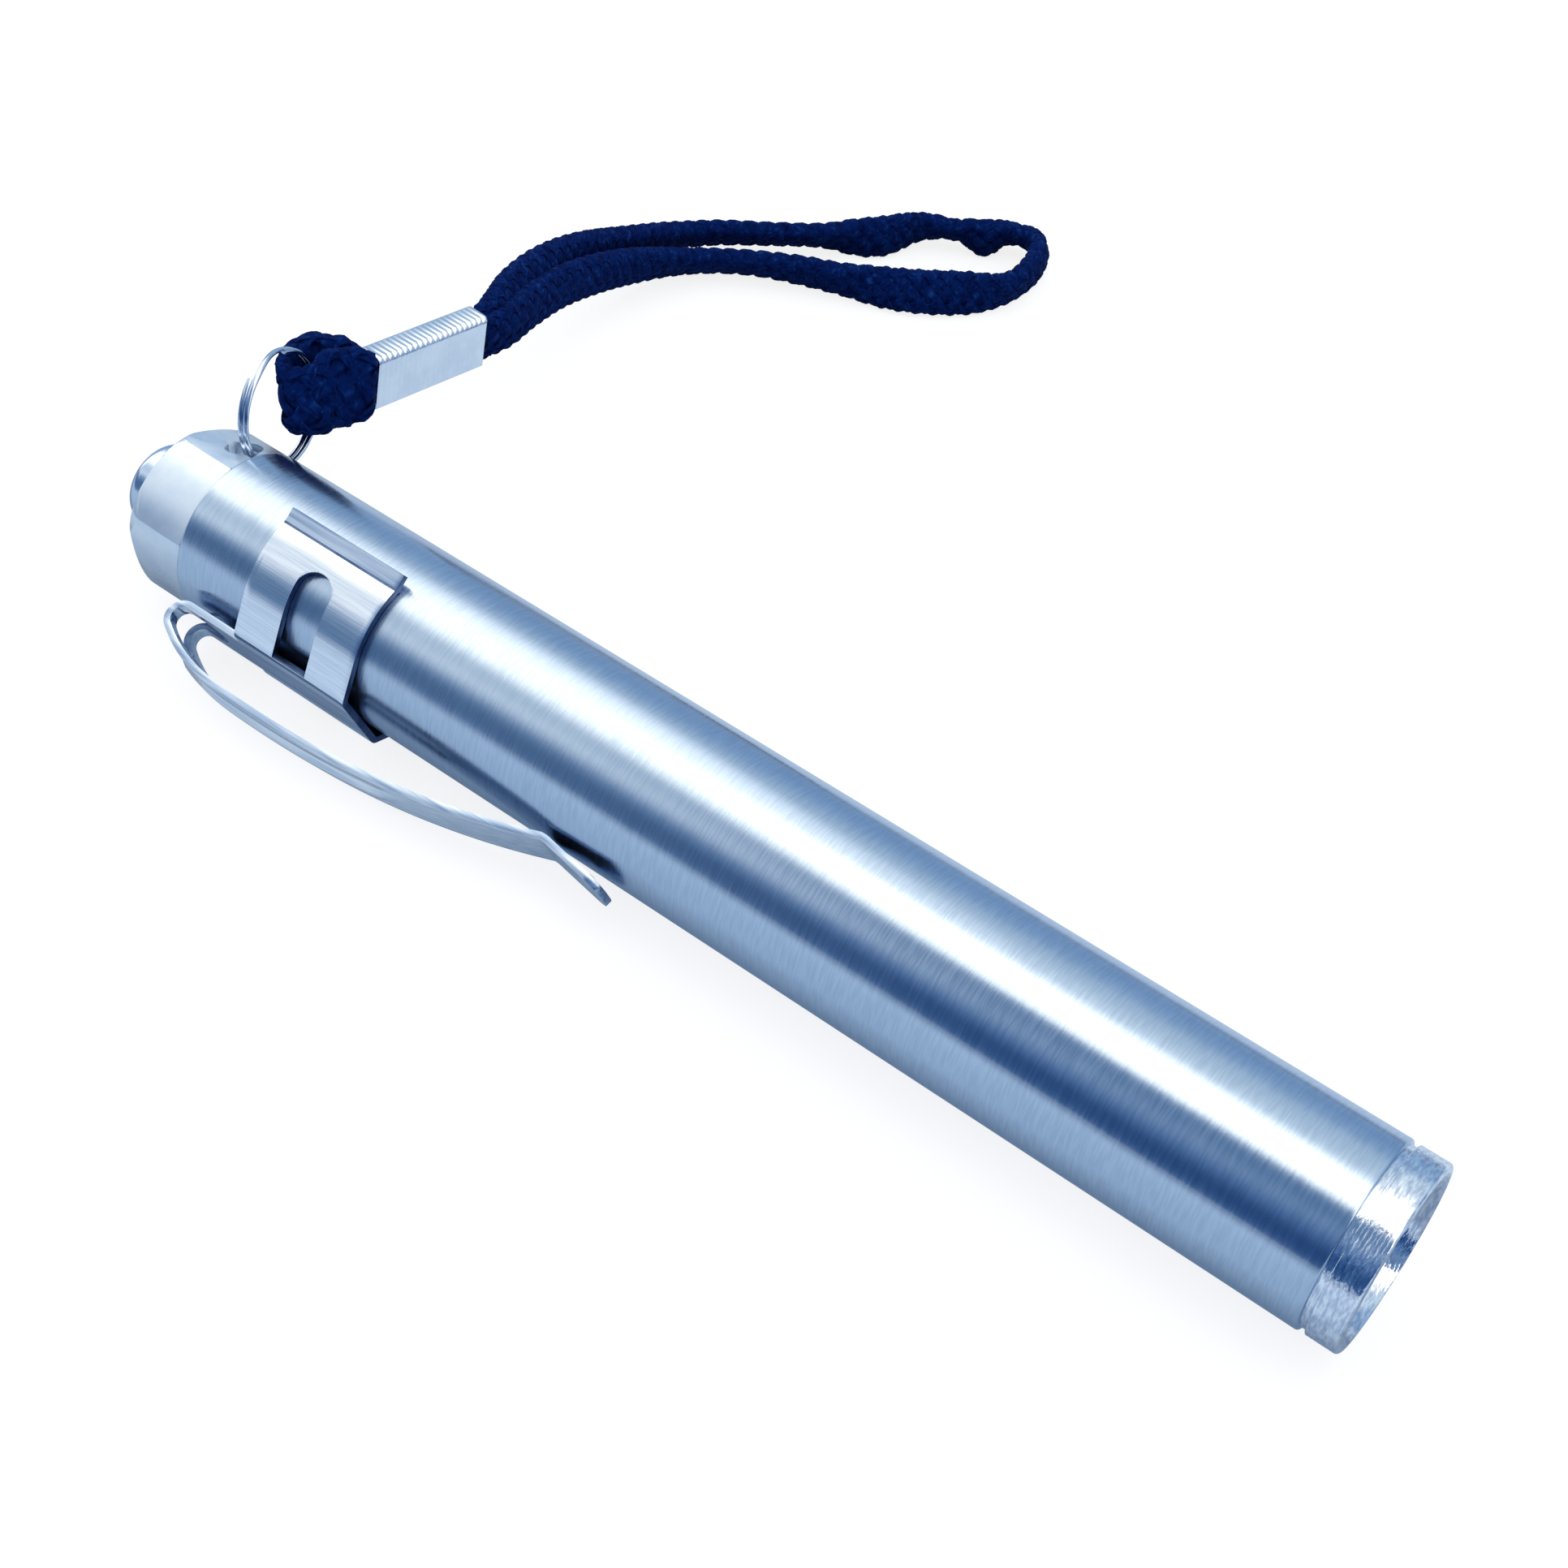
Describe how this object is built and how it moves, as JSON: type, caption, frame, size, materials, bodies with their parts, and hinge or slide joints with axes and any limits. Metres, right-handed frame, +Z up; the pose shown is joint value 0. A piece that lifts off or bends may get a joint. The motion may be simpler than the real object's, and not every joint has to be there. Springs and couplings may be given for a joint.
{
  "type": "penlight",
  "caption": "Slim round pocket penlight with a push-button tail cap, a bent spring clip, a lamp behind a clear window, a split key ring and a braided wrist loop.",
  "frame": {"origin": "on the barrel's axis, half way along the barrel tube", "axes": "+X along the barrel towards the lamp, +Z up as the light lies on a surface, -Y towards the side that carries the clip"},
  "size_m": [0.1046, 0.0977, 0.0174],
  "materials": {
    "barrel_steel": "brushed across the length",
    "bezel_chrome": "polished",
    "lens_clear": "clear, polished",
    "seal_rubber": "matte",
    "reflector_silver": "vacuum plated",
    "lamp_epoxy": "clear with a pale chip",
    "lead_wire": "tinned",
    "holder_brass": "turned",
    "board_green": "solder mask",
    "chip_black": "moulded",
    "spring_plate": "nickel plated",
    "cell_steel": "drawn",
    "cell_sleeve": "shrunk film",
    "clip_steel": "polished sheet with a fine grain",
    "cap_metal": "satin",
    "switch_plastic": "moulded",
    "contact_brass": "stamped",
    "button_chrome": "polished",
    "ring_steel": "polished",
    "strap_cord": "close flat braid",
    "ferrule_metal": "nickel plated, satin"
  },
  "bodies": {
    "barrel": {"barrel_tube": "barrel_steel", "head_bezel": "bezel_chrome", "lens": "lens_clear", "lens_gasket": "seal_rubber", "reflector": "reflector_silver", "led_lamp": "lamp_epoxy", "led_leads": "lead_wire", "lamp_holder": "holder_brass", "driver_board": "board_green", "board_parts": "chip_black", "front_spring": "spring_plate", "cell_can": "cell_steel", "cell_stud": "cell_steel", "cell_jacket": "cell_sleeve", "clip_band": "clip_steel"},
    "clip_arm": {"clip_arm": "clip_steel"},
    "cap_seal": {"cap_seal": "seal_rubber"},
    "tail_cap": {"tail_cap": "cap_metal", "switch_housing": "switch_plastic", "switch_retainer": "contact_brass", "contact_ring": "contact_brass", "terminal_pin": "contact_brass", "terminal_plate": "contact_brass", "battery_spring": "spring_plate"},
    "button": {"button": "button_chrome", "button_spring": "spring_plate", "plunger": "switch_plastic", "contact_bridge": "contact_brass"},
    "ring": {"split_ring": "ring_steel", "ring_loop": "strap_cord", "ferrule": "ferrule_metal", "wrist_loop": "strap_cord"}
  },
  "joints": [
    {"name": "clip_flex", "type": "hinge", "parent": "barrel", "child": "clip_arm", "pos_m": [-0.0449, -0.00698, -0.00371], "axis": [0, 0.4695, -0.8829], "range_deg": [0, 8], "stiffness_Nm_per_rad": 1.84, "springref_deg": -1.72},
    {"name": "seal_slide", "type": "slide", "parent": "barrel", "child": "cap_seal", "axis": [1, 0, 0], "range_m": [-0.0023, 0]},
    {"name": "cap_turn", "type": "hinge", "parent": "cap_seal", "child": "tail_cap", "pos_m": [-0.04565, 0, 0], "axis": [1, 0, 0], "range_deg": [-1080, 0]},
    {"name": "button_push", "type": "slide", "parent": "tail_cap", "child": "button", "axis": [1, 0, 0], "range_m": [0, 0.0015], "stiffness_N_per_m": 600, "springref_m": -0.001, "deforming": ["button_spring"]},
    {"name": "ring_swing", "type": "hinge", "parent": "tail_cap", "child": "ring", "pos_m": [-0.04805, 0.00403, 0.00321], "axis": [0, -0.6225, 0.7826], "range_deg": [-65, 58]}
  ],
  "couplings": [
    {"joint": "seal_slide", "follows": "cap_turn", "m_per_rad": 0.00011937}
  ]
}
